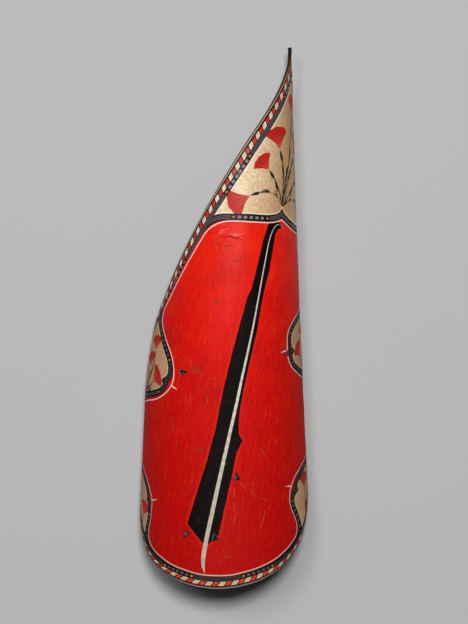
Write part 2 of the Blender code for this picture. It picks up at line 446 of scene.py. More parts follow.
# Old damage: chips down to the ground, scratches and open cracks
chips = [
    ([(-30, 346), (-26, 343.5)], (3.4, 2.6)), ([(-14, 349), (-8, 347)], (2.4, 3.0)),
    ([(18, 362), (21.5, 371)], (1.4, 2.6)), ([(4, 375), (11, 372.5)], (2.4, 1.2)),
    ([(89, 344), (94, 343)], (2.4, 1.6)), ([(-23, 443.5), (-18, 443), (-13, 441)], (3.8, 1.6, 0.8)),
    ([(-55, 555), (-48, 557)], (3.0, 1.2)), ([(-58, 562), (-46, 562.5), (-36, 559)], (1.2, 2.6, 2.0)),
    ([(-84, 541), (-82, 543)], (3.2, 3.2)), ([(99, 643), (101, 647)], (3.0, 2.2)),
    ([(-87, 684), (-83, 682)], (2.4, 2.8)), ([(-49, 697), (-42, 693), (-38, 694)], (2.2, 4.0, 2.0)),
    ([(-16, 881), (-12, 879)], (1.6, 1.2)), ([(-2, 871.5), (5, 873), (14, 873.5)], (0.6, 2.2, 0.6)),
    ([(112, 476), (114, 478)], (2.8, 2.2)), ([(-18, 487), (-16, 480)], (1.0, 1.8)),
    ([(-70, 404), (-48, 402)], (0.8, 1.6)), ([(-84, 421), (-66, 419)], (0.8, 1.4)),
    ([(36, 872), (40, 868)], (1.2, 1.4)), ([(-82, 838), (-79, 842)], (1.6, 2.2)),
]
scratches = [
    ([(63, 691), (70, 700), (78, 708)], (0.8, 1.6, 0.6)), ([(29, 749), (37, 761)], (1.6, 1.0)),
    ([(46, 762), (55, 774)], (1.4, 0.8)), ([(68, 776), (76, 783)], (1.4, 0.8)),
    ([(17, 760), (17, 772)], (1.0, 1.2)), ([(17, 784), (17.5, 798)], (1.2, 0.8)),
    ([(17, 806), (16, 815)], (1.0, 1.2)), ([(72, 796), (68, 812), (62, 828)], (0.8, 1.4, 0.8)),
    ([(-96, 640), (-93, 662)], (0.7, 0.9)), ([(-30, 600), (-27, 618)], (0.7, 0.9)),
]
cracks = [
    ([(-20, 335), (-10, 331.5), (-4, 334), (6, 333)], (0.6, 1.5, 2.0, 0.8)),
    ([(-24, 318), (-16, 316), (-8, 318)], (0.4, 0.9, 0.4)),
    ([(2, 338), (9, 337)], (0.6, 1.2)),
    ([(-30, 334), (-22, 331)], (0.4, 0.8)),
]
# painted highlights: pale strokes along the cracks, standing in for the light caught by paint lifted there
crackGlints = [
    ([(-12, 328), (2, 326.5), (12, 327.5)], (0.3, 0.8, 0.3)), ([(-26, 320), (-14, 319)], (0.3, 0.7)),
    ([(-4, 331), (8, 331)], (0.3, 0.6)), ([(-6, 307.5), (6, 305.5), (15, 307)], (0.3, 0.7, 0.3)),
    ([(-30, 327), (-24, 325)], (0.3, 0.6)),
]


def acrossAxis(point):
    # the same place on the other side of the bouquet's middle line
    a, b = np.array(bouquetAxis[0], float), np.array(bouquetAxis[1], float)
    along = (b - a) / np.hypot(*(b - a))
    way = np.array(point, float) - a
    return tuple(a + 2.0 * along * (way @ along) - way)


def everyFan():
    mirrored = [(acrossAxis(base), acrossAxis(tip), angle) for base, tip, angle in bouquetFans]
    return bouquetFans + mirrored + middleFans + cornerFans


def everyStem():
    mirrored = [([acrossAxis(point) for point in points], widths) for points, widths in bouquetStems]
    return bouquetStems + mirrored + middleStems + cornerStems


def rimLine():
    # the outline as one closed line, from the middle of the foot to the right and round
    across = np.linspace(-1.0, 1.0, 121)
    footDrop = footOutline(across)
    foot = np.column_stack([across * halfWidth(footDrop), footDrop])
    across = columnPlace(np.linspace(0.0, 1.0, 261))[::-1]
    topDrop = topOutline(across)
    top = np.column_stack([across * halfWidth(topDrop), topDrop])
    middle = int(np.argmax(foot[:, 1]))
    right = np.linspace(foot[-1, 1], top[0, 1], 14)[1:-1]
    left = np.linspace(top[-1, 1], foot[0, 1], 8)[1:-1]
    sides = [np.column_stack([halfWidth(right), right]), np.column_stack([-halfWidth(left), left])]
    line = np.vstack([foot[middle:], sides[0], top, sides[1], foot[:middle + 1]])
    runs = np.concatenate([[0.0], np.cumsum(np.hypot(*np.diff(line, axis=0).T))])
    footEnd = len(foot) - middle - 1
    topStart = footEnd + len(right) + 1
    topEnd = topStart + len(top) - 1
    marks = {
        "total": runs[-1],
        "footRight": runs[footEnd],
        "topRight": runs[topStart],
        "point": runs[topStart + int(np.argmin(top[:, 1]))],
        "topLeft": runs[topEnd],
        "footLeft": runs[topEnd + len(left) + 1],
    }
    return line, marks


def chequerCount(run, marks):
    # red patches at the whole numbers, in step where the photo shows them and even between
    b = borderSizes

    def fromFoot(place):
        return (place - b["footStart"]) / b["footPitch"]

    def fromPoint(place):
        return (place - marks["point"] - b["topStart"]) / b["topPitch"]

    rightSide = (marks["topRight"] - marks["footRight"]) / b["sidePitch"]
    leftSide = (marks["footLeft"] - marks["topLeft"]) / b["sidePitch"]
    shift = round(fromFoot(marks["footRight"]) + rightSide - fromPoint(marks["topRight"]))
    leftFoot = fromFoot(marks["footLeft"] - marks["total"])
    around = round(fromPoint(marks["topLeft"]) + shift + leftSide - leftFoot)
    knots = [0.0, marks["footRight"], marks["topRight"], marks["topLeft"], marks["footLeft"], marks["total"]]
    counts = [
        fromFoot(0.0), fromFoot(marks["footRight"]), fromPoint(marks["topRight"]) + shift,
        fromPoint(marks["topLeft"]) + shift, leftFoot + around, fromFoot(0.0) + around,
    ]
    return np.interp(run, knots, counts)


def barBeat(run, ochres, pitch):
    # 0 at the ochre marks, whole numbers at the bars between each pair, minus along the fine lines
    runOut, outBeat = 60.0, -6.0
    knots = [ochres[0] - runOut]
    beats = [outBeat]
    for i, here in enumerate(ochres):
        knots.append(here)
        beats.append(0.0)
        if i + 1 < len(ochres):
            span = ochres[i + 1] - here
            knots.append(here + span / 2.0)
            beats.append(round(span / pitch) / 2.0 if i % 2 == 0 else -span / 2.0 / pitch)
    knots.append(ochres[-1] + runOut)
    beats.append(outBeat)
    return np.interp(run, knots, beats)


fanShape = {
    "fullAngle": 45.0,      # every fan is drawn at that half angle and then squeezed
    "length": 0.97,         # the other sizes are shares of its length too
    "raggedness": 0.03,
    "teeth": 7.0,
    "neck": 0.04,
    "flare": 1.2,
    "flarePower": 1.6,      # the two sides curve in towards the stem
}


def fanFields(places):
    # for the nearest flower: distance outside it in mm, the angle in its fan and the share of its length
    f = fanShape
    field = np.full(len(places), 50.0)
    angle = np.zeros(len(places))
    reachShare = np.zeros(len(places))
    for base, tip, halfAngle in everyFan():
        base, tip = np.array(base, float), np.array(tip, float)
        reach = np.hypot(*(tip - base))
        way = (tip - base) / reach
        y = (places - base) @ way / reach
        x = (places - base) @ np.array([-way[1], way[0]]) / reach * f["fullAngle"] / halfAngle
        turn = np.arctan2(x, np.maximum(y, 1e-3))
        ragged = f["raggedness"] * np.abs(np.cos(turn * f["teeth"]))
        far = np.hypot(x, y) - f["length"] - ragged
        side = (np.abs(x) - f["neck"] - f["flare"] * np.maximum(y, 0.0) ** f["flarePower"]) * 0.5
        outside = np.maximum(np.maximum(far, side), -y) * reach
        closer = outside < field
        field = np.where(closer, outside, field)
        angle = np.where(closer, np.degrees(turn), angle)
        reachShare = np.where(closer, np.hypot(x, y), reachShare)
    return field, angle, reachShare


def paintFields(places):
    # every field that the paint needs, as one number for each place
    b = borderSizes
    rim, marks = rimLine()
    gap, _, run = nearestOn(places, rim)
    corners = [marks["footRight"], marks["topRight"], marks["topLeft"], marks["footLeft"]]
    upper = np.interp(run, corners, [0.0, 1.0, 1.0, 0.0])
    signedRun = np.where(run > marks["total"] / 2.0, run - marks["total"], run)
    alongFoot = smooth((np.abs(signedRun) - b["footEven"]) / b["footEasing"])
    lowShare = 1.0 - (1.0 - b["sideShare"]) * alongFoot
    lowShare = lowShare - b["rightNarrowing"] * smooth((signedRun - b["rightFrom"]) / b["rightEasing"])
    widening = lowShare + upper * (b["widestAtPoint"] - b["narrowing"] * places[:, 1] - lowShare)
    blackAway = gap / widening + brushWander(places, *b["edgeWaver"])
    border = blackAway * (1.0 + (b["sideCrowding"] - 1.0) * alongFoot * (1.0 - upper))
    slant = b["chequerSlant"] * (border - b["chequerMiddle"])
    count = chequerCount(run, marks) - slant / b["footPitch"]
    period = b["ochreGap"] + b["barredLength"]
    footOchres = sorted(
        side * (b["ochreGap"] / 2.0 + period * k + extra)
        for side in (-1, 1) for k in range(6) for extra in (0.0, b["barredLength"])
    )
    footBeat = barBeat(signedRun - b["ochreMiddle"], footOchres, b["barPitch"])
    topBeat = barBeat(np.abs(run - marks["point"]), b["topOchres"], b["topBarPitch"])

    strip = gap - b["blackWidth"] * widening
    field = strip
    stripInset = b["whiteInsetFoot"] + upper * (b["whiteInsetSweep"] - b["whiteInsetFoot"])
    lineField = strip + b["whiteInset"] - stripInset
    bandBeat = np.full(len(places), -3.0)
    nearestLobe = np.full(len(places), farAway)
    for first, second, cusp, cuspBlend, reach, firstShift, secondShift in panels:
        depths = []
        for name, ochreShift in ((first, firstShift), (second, secondShift)):
            line = through(lobes[name])
            depth = shapeField(places, line) - reach
            along = nearestOn(places, line)[2]
            cuspRun = nearestOn(np.array([cusp], float), line)[2][0]
            closer = depth < nearestLobe
            nearestLobe = np.where(closer, depth, nearestLobe)
            beat = barBeat(np.abs(along - cuspRun) - ochreShift, b["bandOchres"], b["topBarPitch"])
            bandBeat = np.where(closer, beat, bandBeat)
            depths.append(depth)
        field = blendMin(field, np.minimum(*depths), b["cornerBlend"])
        lineField = blendMin(lineField, blendMin(*depths, cuspBlend), b["cornerBlend"])

    waver = brushWander(places, *b["lineWaver"])
    vane = shapeField(places, np.array(featherVane, float))
    fields = {
        "blackAway": blackAway,
        "border": border,
        "upper": upper,
        "chequer": np.abs(count - np.round(count)),   # 0 in a red patch's middle, 0.5 in a cream one's
        "rimBeat": np.where(upper > 0.999, topBeat, footBeat),
        "field": field + waver,
        "lineField": lineField + waver,
        "bandBeat": bandBeat,
        "vane": vane + brushWander(places, *b["vaneWaver"]),
        "axisAway": nearestOn(places, np.array(bouquetAxis, float))[0],
    }
    fields["fan"], fields["fanAngle"], fields["fanReach"] = fanFields(places)
    kinds = {
        "quill": [(quill, quillWidths), (quillEnd, quillEndWidths)], "tick": cuspTicks, "stem": everyStem(),
        "chip": chips, "scratch": scratches, "crack": cracks, "crackGlint": crackGlints,
    }
    for name, strokes in kinds.items():
        fields[name + "Off"], fields[name + "Half"] = strokeField(places, strokes)
    return fields


# Colours and nodes

def paint(hexColour):
    # an sRGB hex colour as a linear RGBA
    made = []
    for i in (1, 3, 5):
        c = int(hexColour[i:i + 2], 16) / 255.0
        made.append(c / 12.92 if c <= 0.04045 else ((c + 0.055) / 1.055) ** 2.4)
    return (*made, 1.0)


def feed(node, inputs):
    # links into a node or values for it, by number or by name; a hex colour is made linear
    slots = inputs if isinstance(inputs, dict) else dict(enumerate(inputs))
    for slot, value in slots.items():
        if isinstance(value, bpy.types.NodeSocket):
            node.id_data.links.new(value, node.inputs[slot])
        else:
            node.inputs[slot].default_value = paint(value) if isinstance(value, str) else value


def addNode(tree, kind, inputs, operation=None, out=0, stops=(), **settings):
    # one node with its settings, colour stops and inputs; gives one of its outputs
    made = tree.nodes.new("ShaderNode" + kind)
    if operation:
        made.operation = operation
    for name, value in settings.items():
        setattr(made, name, value)
    if stops:
        elements = made.color_ramp.elements
        elements.remove(elements[1])
        elements[0].position = stops[0][0]
        elements[0].color = paint(stops[0][1])
        for place, colour in stops[1:]:
            elements.new(place).color = paint(colour)
    feed(made, inputs)
    return made.outputs[out]


def freshMaterial(name):
    made = bpy.data.materials.new(name)
    made.use_nodes = True
    return made, partial(addNode, made.node_tree), made.node_tree.nodes["Principled BSDF"]


def coated(put, base, layers):
    # colours laid over a base one after the other, each where its part is 1
    for part, colour in layers:
        base = put("Mix", {0: part, 6: base, 7: colour}, out=2, data_type="RGBA")
    return base


def awayFrom(put, value, middle):
    # how far a value is from the middle one, either way
    offset = put("Math", [value, middle], "SUBTRACT")
    return put("Math", [offset], "ABSOLUTE")


def strokeMask(put, offset, half):
    # 1 on a painted or scratched stroke
    away = put("Math", [offset], "ABSOLUTE")
    outside = put("Math", [away, half], "SUBTRACT")
    return put("MapRange", [outside, 0.25, -0.25])


def barredStripe(put, beat, across, pitch, half):
    # masks for the mauve bars and fine lines, and for the ochre lozenges; across is mm from its middle
    lineSpacing = 2.5
    away = put("Math", [across], "ABSOLUTE")
    inside = put("MapRange", [away, half + 0.2, half - 0.2])
    barPart = put("MapRange", [beat, 0.58, 0.66, 0.0, inside])
    toBar = put("Math", [beat, 0.5], "PINGPONG")
    bars = put("MapRange", [toBar, 0.31, 0.24, 0.0, barPart])
    wider = put("MapRange", [away, half + 1.4, half + 1.1, 0.0, 0.8])
    linePart = put("MapRange", [beat, -0.45, -0.6, 0.0, wider])
    lineBeat = put("Math", [across, 1.0 / lineSpacing], "MULTIPLY")
    toLine = put("Math", [lineBeat, 0.5], "PINGPONG")
    lines = put("MapRange", [toLine, 0.22, 0.08, 0.0, linePart])
    along = put("Math", [beat], "ABSOLUTE")
    lozenge = put("Math", [along, pitch * 0.8, away], "MULTIPLY_ADD")
    ochre = put("MapRange", [lozenge, half + 0.9, half + 0.2, 0.0, inside])
    return put("Math", [bars, lines], "MAXIMUM"), ochre


paintColours = {
    "redDeep": "#a80403", "redBright": "#f01f0c", "redRubbed": "#e4501f",
    "vane": "#0b0506", "vaneRubbed": "#3c1511", "bandBlack": "#10141a",
    # the darker cream laid on the lower panels is painted shade
    "cream": "#dcbf9a", "creamLight": "#f3dcbb", "creamStain": "#b88c5e", "creamFlankShade": "#b88e68",
    "creamSpeck": "#7a5534", "creamEdge": "#f7e4c8",
    "fan": "#b5100a", "fanPale": "#e39a80", "stem": "#22221c",
    "chequerCream": "#e6d0b4", "chequerLow": "#ccb28e", "chequerMark": "#8a5a34",
    "chequerRed": "#cc2a1c", "chequerWorn": "#b08a78",
    "ochre": "#a07228", "mauve": "#8c817d", "mauveLow": "#5a504b",
    "whiteLine": "#e4dccd", "whiteLineLow": "#c2b4a2",
    "quill": "#dad3c6", "quillLow": "#c0b49f", "quillSpeck": "#6f6152",
    # the pale pink for the crack strokes is a painted highlight
    "ground": "#4c4a24", "scratch": "#8e6a34", "crack": "#2a0f08", "crackGlint": "#f0a08c",
    "darkEnd": "#170d08", "brownEnd": "#5c3a1c",
}


def varnishedTempera(fieldNames):
    # tempera on a gesso ground under old oil varnish: deep even colour, laid on lengthwise with a
    # broad brush, rubbed, chipped to the ground and glossy only in patches
    made, put, shader = freshMaterial("varnished tempera on gesso")
    c = paintColours
    b = borderSizes
    at = {name: put("Attribute", {}, out=2, attribute_name=name) for name in fieldNames}
    flat = put("Attribute", {}, out=1, attribute_name="flatPlace")
    drop = put("SeparateXYZ", [flat], out=1)
    drawn = {}
    for name in ("stem", "quill", "tick", "scratch", "crack", "crackGlint"):
        drawn[name] = strokeMask(put, at[name + "Off"], at[name + "Half"])

    # noises by the size of their largest blotch in mm
    cloud = put("TexNoise", {"Vector": flat, "Scale": 1 / 70, "Detail": 3.0})
    patch = put("TexNoise", {"Vector": flat, "Scale": 1 / 26, "Detail": 4.0})
    mottle = put("TexNoise", {"Vector": flat, "Scale": 1 / 7, "Detail": 4.0, "Roughness": 0.6})
    speckle = put("TexNoise", {"Vector": flat, "Scale": 1 / 2.2, "Detail": 2.0})
    # the brush went along the feather
    turned = put("Mapping", {"Vector": flat, "Rotation": (0.0, 0.0, -0.17)})
    lengthwise = put("Mapping", {"Vector": turned, "Scale": (1.0, 0.07, 1.0)})
    streak = put("TexNoise", {"Vector": lengthwise, "Scale": 1 / 2.8, "Detail": 4.0, "Roughness": 0.7})

    # cream ground of the panels, browned round the bouquet, painted darker on the lower panels as painted
    # shade of the vault's flanks, stained and flyspecked, with a fine light line where it meets black
    edgeInset = 1.0
    lightPart = put("MapRange", [patch, 0.34, 0.58])
    brownWander = put("Math", [patch, -60.0, at["axisAway"]], "MULTIPLY_ADD")
    brownPart = put("MapRange", [brownWander, 52.0, -18.0, 0.0, 0.9])
    # painted shade: the lower panels, out on the vault's flanks, are painted darker
    flankShadePart = put("MapRange", [drop, 340.0, 440.0, 0.0, 0.9])
    stainBeat = put("Math", [mottle, 0.5, speckle], "MULTIPLY_ADD")
    stainPart = put("MapRange", [stainBeat, 0.72, 0.92, 0.0, 0.65])
    speckPart = put("MapRange", [speckle, 0.67, 0.75, 0.0, 0.5])
    bandGap = awayFrom(put, at["field"], -b["bandWidth"] - edgeInset)
    stripGap = awayFrom(put, at["blackAway"], b["blackWidth"] + edgeInset)
    edgeGap = put("Math", [bandGap, stripGap], "MINIMUM")
    edgeMost = put("MapRange", [drop, 340.0, 440.0, 0.85, 0.3])
    edgePart = put("MapRange", [edgeGap, 1.2, 0.5, 0.0, edgeMost])
    cream = coated(put, c["cream"], [
        (lightPart, c["creamLight"]), (brownPart, c["creamStain"]), (flankShadePart, c["creamFlankShade"]),
        (stainPart, c["creamStain"]), (speckPart, c["creamSpeck"]), (edgePart, c["creamEdge"]),
    ])

    # fan flowers with pale rays drawn out from the calyx
    rayAngle = 20.0
    rayBeat = put("Math", [at["fanAngle"], 1.0 / rayAngle], "MULTIPLY")
    toRay = put("Math", [rayBeat, 0.5], "PINGPONG")
    rayAway = put("Math", [toRay, at["fanReach"]], "MULTIPLY")
    rayEnd = put("MapRange", [at["fanReach"], 0.75, 0.40, 0.0, 0.65])
    rayPart = put("MapRange", [rayAway, 0.035, 0.01, 0.0, rayEnd])
    fanColour = coated(put, c["fan"], [(rayPart, c["fanPale"])])
    fanPart = put("MapRange", [at["fan"], 0.3, -0.3, 0.0, 0.97])

    # the red field, painted lighter towards the point and darker towards the foot as a painted falloff of
    # the light, and streaked where the brush ran thin
    dropShare = put("Math", [drop, 1.0 / boardSizes["length"]], "MULTIPLY")
    red = put(
        "ValToRGB", [dropShare],
        stops=((0.34, "#e8200e"), (0.5, "#da110a"), (0.65, "#c80704"), (0.86, "#b60202"), (0.97, "#aa0101")),
    )
    deepPart = put("MapRange", [cloud, 0.52, 0.30, 0.0, 0.4])
    thickPart = put("MapRange", [streak, 0.50, 0.28, 0.0, 0.35])
    thinMost = put("MapRange", [drop, 560.0, 760.0, 0.7, 0.38])
    thinPatch = put("MapRange", [patch, 0.35, 0.66, 0.12, thinMost])
    thinPart = put("MapRange", [streak, 0.52, 0.78, 0.0, thinPatch])
    fleckPart = put("MapRange", [speckle, 0.66, 0.72, 0.0, 0.7])
    haloPart = put("MapRange", [at["vane"], 5.0, 0.5, 0.0, 0.5])
    redField = coated(put, red, [
        (deepPart, c["redDeep"]), (thickPart, c["redDeep"]), (thinPart, c["redRubbed"]),
        (fleckPart, c["redRubbed"]), (haloPart, c["redBright"]),
    ])

    # the feather: a black vane, rubbed back to red in short cross lines, and its pale quill
    crosswise = put("Mapping", {"Vector": flat, "Scale": (0.14, 1.0, 1.0)})
    rub = put("TexNoise", {"Vector": crosswise, "Scale": 1 / 2.2, "Detail": 2.0})
    rubPart = put("MapRange", [rub, 0.62, 0.74, 0.0, 0.6])
    vaneColour = coated(put, c["vane"], [(rubPart, c["vaneRubbed"])])
    vanePart = put("MapRange", [at["vane"], 0.3, -0.3])
    quillAway = put("Math", [at["quillOff"]], "ABSOLUTE")
    quillLine = put("MapRange", [quillAway, 0.7, 0.2, 0.0, 0.35])
    quillMottle = put("MapRange", [mottle, 0.45, 0.7, 0.0, 0.5])
    quillDark = put("Math", [quillLine, quillMottle], "MAXIMUM")
    # the whites are darker towards the foot, the mauve lower down too
    footwardDarkening = put("MapRange", [drop, 600.0, 820.0])
    white = coated(put, c["whiteLine"], [(footwardDarkening, c["whiteLineLow"])])
    quillColour = coated(put, c["quill"], [(footwardDarkening, c["quillLow"]), (quillDark, c["quillSpeck"])])
    patchCream = coated(put, c["chequerCream"], [(footwardDarkening, c["chequerLow"])])
    mauvePart = put("MapRange", [drop, 330.0, 520.0])
    mauve = coated(put, c["mauve"], [(mauvePart, c["mauveLow"])])

    # bands round the panels, whose bars stop where their black does, and the white line round them
    softly = 0.3    # half the width of a soft edge
    bandIn = -b["bandWidth"]
    bandPart = put("MapRange", [at["field"], bandIn - softly, bandIn + softly])
    redPart = put("MapRange", [at["field"], -softly, softly])
    bandOnly = put("MapRange", [at["field"], bandIn + softly, bandIn + 3.0 * softly])
    notRed = put("Math", [bandOnly, redPart], "SUBTRACT", use_clamp=True)
    bandAcross = put("Math", [at["field"], b["bandWidth"] / 2.0], "ADD")
    bandBars = barredStripe(put, at["bandBeat"], bandAcross, b["topBarPitch"], b["bandStripeHalf"])
    bandMauve, bandOchre = [put("Math", [part, notRed], "MULTIPLY") for part in bandBars]
    lineAway = awayFrom(put, at["lineField"], b["whiteInset"])
    linePart = put("MapRange", [lineAway, 1.05, 0.65, 0.0, 0.96])

    # the border along the rim, by the way in from the edge: edge lines, chequers and a barred stripe
    rimIn = b["blackWidth"]
    stripPart = put("MapRange", [at["blackAway"], rimIn + softly, rimIn - softly])
    rimAcross = put("Math", [at["border"], b["stripeMiddle"]], "SUBTRACT")
    rimMauve, rimOchre = barredStripe(put, at["rimBeat"], rimAcross, b["barPitch"], b["stripeHalf"])
    profileLength = 20.0
    profilePlace = put("Math", [at["border"], 1.0 / profileLength], "MULTIPLY")
    footProfile = put(
        "ValToRGB", [profilePlace],
        stops=(
            (0.0, "#15110f"), (0.065, "#15110f"), (0.08, "#857c7c"), (0.145, "#857c7c"), (0.16, "#15120f"),
            (0.2, "#6a4020"), (0.215, "#6a4020"), (0.23, "#10141a"),
        ),
    )
    topProfile = put(
        "ValToRGB", [profilePlace],
        stops=(
            (0.0, "#23170f"), (0.05, "#2b1b10"), (0.065, "#7c4b1e"), (0.10, "#96602a"), (0.12, "#c8b09a"),
            (0.155, "#b9a28c"), (0.17, "#17120f"), (0.2, "#10141a"),
        ),
    )
    chequerAway = awayFrom(put, at["border"], b["chequerMiddle"])
    half = b["chequerHalf"]
    chequerPart = put("MapRange", [chequerAway, half + 0.25, half - 0.25])
    redPatch = put("MapRange", [at["chequer"], 0.18, 0.155, 0.0, chequerPart])
    creamPatch = put("MapRange", [at["chequer"], 0.265, 0.29, 0.0, chequerPart])
    markAcross = put("MapRange", [chequerAway, 1.0, 0.5, 0.0, 0.6])
    markPart = put("MapRange", [at["chequer"], 0.39, 0.42, 0.0, markAcross])
    patches = put("Math", [redPatch, creamPatch], "ADD")
    wornPatch = put("MapRange", [mottle, 0.48, 0.72, 0.0, 0.6])
    worn = put("Math", [wornPatch, patches], "MULTIPLY")
    strip = coated(put, footProfile, [
        (at["upper"], topProfile), (redPatch, c["chequerRed"]), (creamPatch, patchCream),
        (markPart, c["chequerMark"]), (worn, c["chequerWorn"]), (rimMauve, mauve), (rimOchre, c["ochre"]),
    ])

    # damage, and the point handled bare to brown and then black
    chipEdge = put("Math", [speckle, 2.8, -1.75], "MULTIPLY_ADD")
    chipHalf = put("Math", [at["chipHalf"], chipEdge], "ADD")
    chipPart = strokeMask(put, at["chipOff"], chipHalf)
    faintScratch = put("Math", [drawn["scratch"], 0.5], "MULTIPLY")
    scattered = put("TexNoise", {"Vector": flat, "Scale": 1 / 5.5, "Detail": 2.0, "Roughness": 0.7})
    tinyChips = put("MapRange", [scattered, 0.735, 0.755, 0.0, 0.8])
    endPart = put("MapRange", [drop, 46.0, 26.0])
    endWander = put("Math", [mottle, -40.0, drop], "MULTIPLY_ADD")
    endBrown = put("MapRange", [endWander, -6.0, 6.0])
    endColour = coated(put, c["darkEnd"], [(endBrown, c["brownEnd"])])

    painted = coated(put, cream, [
        (fanPart, fanColour), (drawn["stem"], c["stem"]), (bandPart, c["bandBlack"]),
        (redPart, redField), (vanePart, vaneColour), (drawn["quill"], quillColour),
        (linePart, white), (drawn["tick"], white), (bandMauve, mauve), (bandOchre, c["ochre"]),
        (stripPart, strip), (tinyChips, c["scratch"]), (faintScratch, c["scratch"]),
        # the pale strokes by the cracks are painted highlights
        (drawn["crackGlint"], c["crackGlint"]), (drawn["crack"], c["crack"]), (chipPart, c["ground"]),
        (endPart, endColour),
    ])
    # grime over everything, a little uneven
    grime = put("MapRange", [mottle, 0.3, 0.75, 1.05, 0.86])
    aged = put("VectorMath", {0: painted, "Scale": grime}, "SCALE")

    patchy = put("MapRange", [patch, 0.3, 0.7, 0.40, 0.48])
    dulled = put("MapRange", [drop, 340.0, 560.0, 0.0, 0.26])   # rubbed dull lower down
    gloss = put("Math", [patchy, dulled], "ADD")
    bare = put("Math", [chipPart, drawn["crack"]], "MAXIMUM")
    matte = put("Math", [bare, endPart], "MAXIMUM")   # no varnish is left on the point
    rough = put("Mix", {0: matte, 2: gloss, 3: 0.9}, data_type="FLOAT")

    # relief in mm: brush marks, a wavy ground, chips and cracks below it
    brushed = put("Math", [streak, 0.06], "MULTIPLY")
    wavy = put("Math", [patch, 0.5, brushed], "MULTIPLY_ADD")
    grained = put("Math", [mottle, 0.12, wavy], "MULTIPLY_ADD")
    chipped = put("Math", [bare, -0.35, grained], "MULTIPLY_ADD")
    relief = put("Bump", {"Strength": 0.8, "Distance": mm, "Height": chipped})
    feed(shader, {"Base Color": aged, "Roughness": rough, "Normal": relief})
    shader.inputs["IOR"].default_value = 1.5
    shader.inputs["Specular IOR Level"].default_value = 0.08
    return made


def linedHide():
    # plain tanned hide glued over the wood inside: dull, darkened by handling, finely wrinkled
    made, put, shader = freshMaterial("tanned hide lining")
    flat = put("Attribute", {}, out=1, attribute_name="flatPlace")
    cloud = put("TexNoise", {"Vector": flat, "Scale": 1 / 90, "Detail": 4.0})
    grain = put("TexNoise", {"Vector": flat, "Scale": 1 / 3.0, "Detail": 4.0, "Roughness": 0.65})
    wrinkled = put("TexVoronoi", {"Vector": flat, "Scale": 1 / 4.5}, feature="DISTANCE_TO_EDGE")
    tone = put("ValToRGB", [cloud], stops=((0.25, "#3d2416"), (0.5, "#5c3a22"), (0.75, "#7a5130")))
    pores = put("MapRange", [grain, 0.35, 0.65, 0.8, 1.1])
    toned = put("VectorMath", {0: tone, "Scale": pores}, "SCALE")
    creases = put("MapRange", [wrinkled, 0.0, 0.12, -0.15, 0.0])
    height = put("Math", [grain, 0.25, creases], "MULTIPLY_ADD")
    relief = put("Bump", {"Strength": 0.7, "Distance": mm, "Height": height})
    dull = put("MapRange", [cloud, 0.3, 0.7, 0.62, 0.78])
    feed(shader, {"Base Color": toned, "Roughness": dull, "Normal": relief})
    return made


def rubbedEdge():
    # the raw edge of wood and hide, rubbed brown by handling, blackened at the point
    made, put, shader = freshMaterial("rubbed board edge")
    flat = put("Attribute", {}, out=1, attribute_name="flatPlace")
    drop = put("SeparateXYZ", [flat], out=1)
    wear = put("TexNoise", {"Vector": flat, "Scale": 1 / 14, "Detail": 5.0, "Roughness": 0.65})
    tone = put("ValToRGB", [wear], stops=((0.35, "#1a110c"), (0.52, "#33200f"), (0.68, "#6a4726")))
    atPoint = put("MapRange", [drop, 30.0, 12.0, 0.0, 0.85])
    blackened = coated(put, tone, [(atPoint, "#0d0805")])
    relief = put("Bump", {"Strength": 0.6, "Distance": mm, "Height": wear})
    feed(shader, {"Base Color": blackened, "Normal": relief})
    shader.inputs["Roughness"].default_value = 0.7
    shader.inputs["Specular IOR Level"].default_value = 0.12
    return made


def vectorsOf(data, name):
    # the vectors of a mesh, one to a row
    values = np.zeros(len(data) * 3)
    data.foreach_get(name, values)
    return values.reshape(-1, 3)


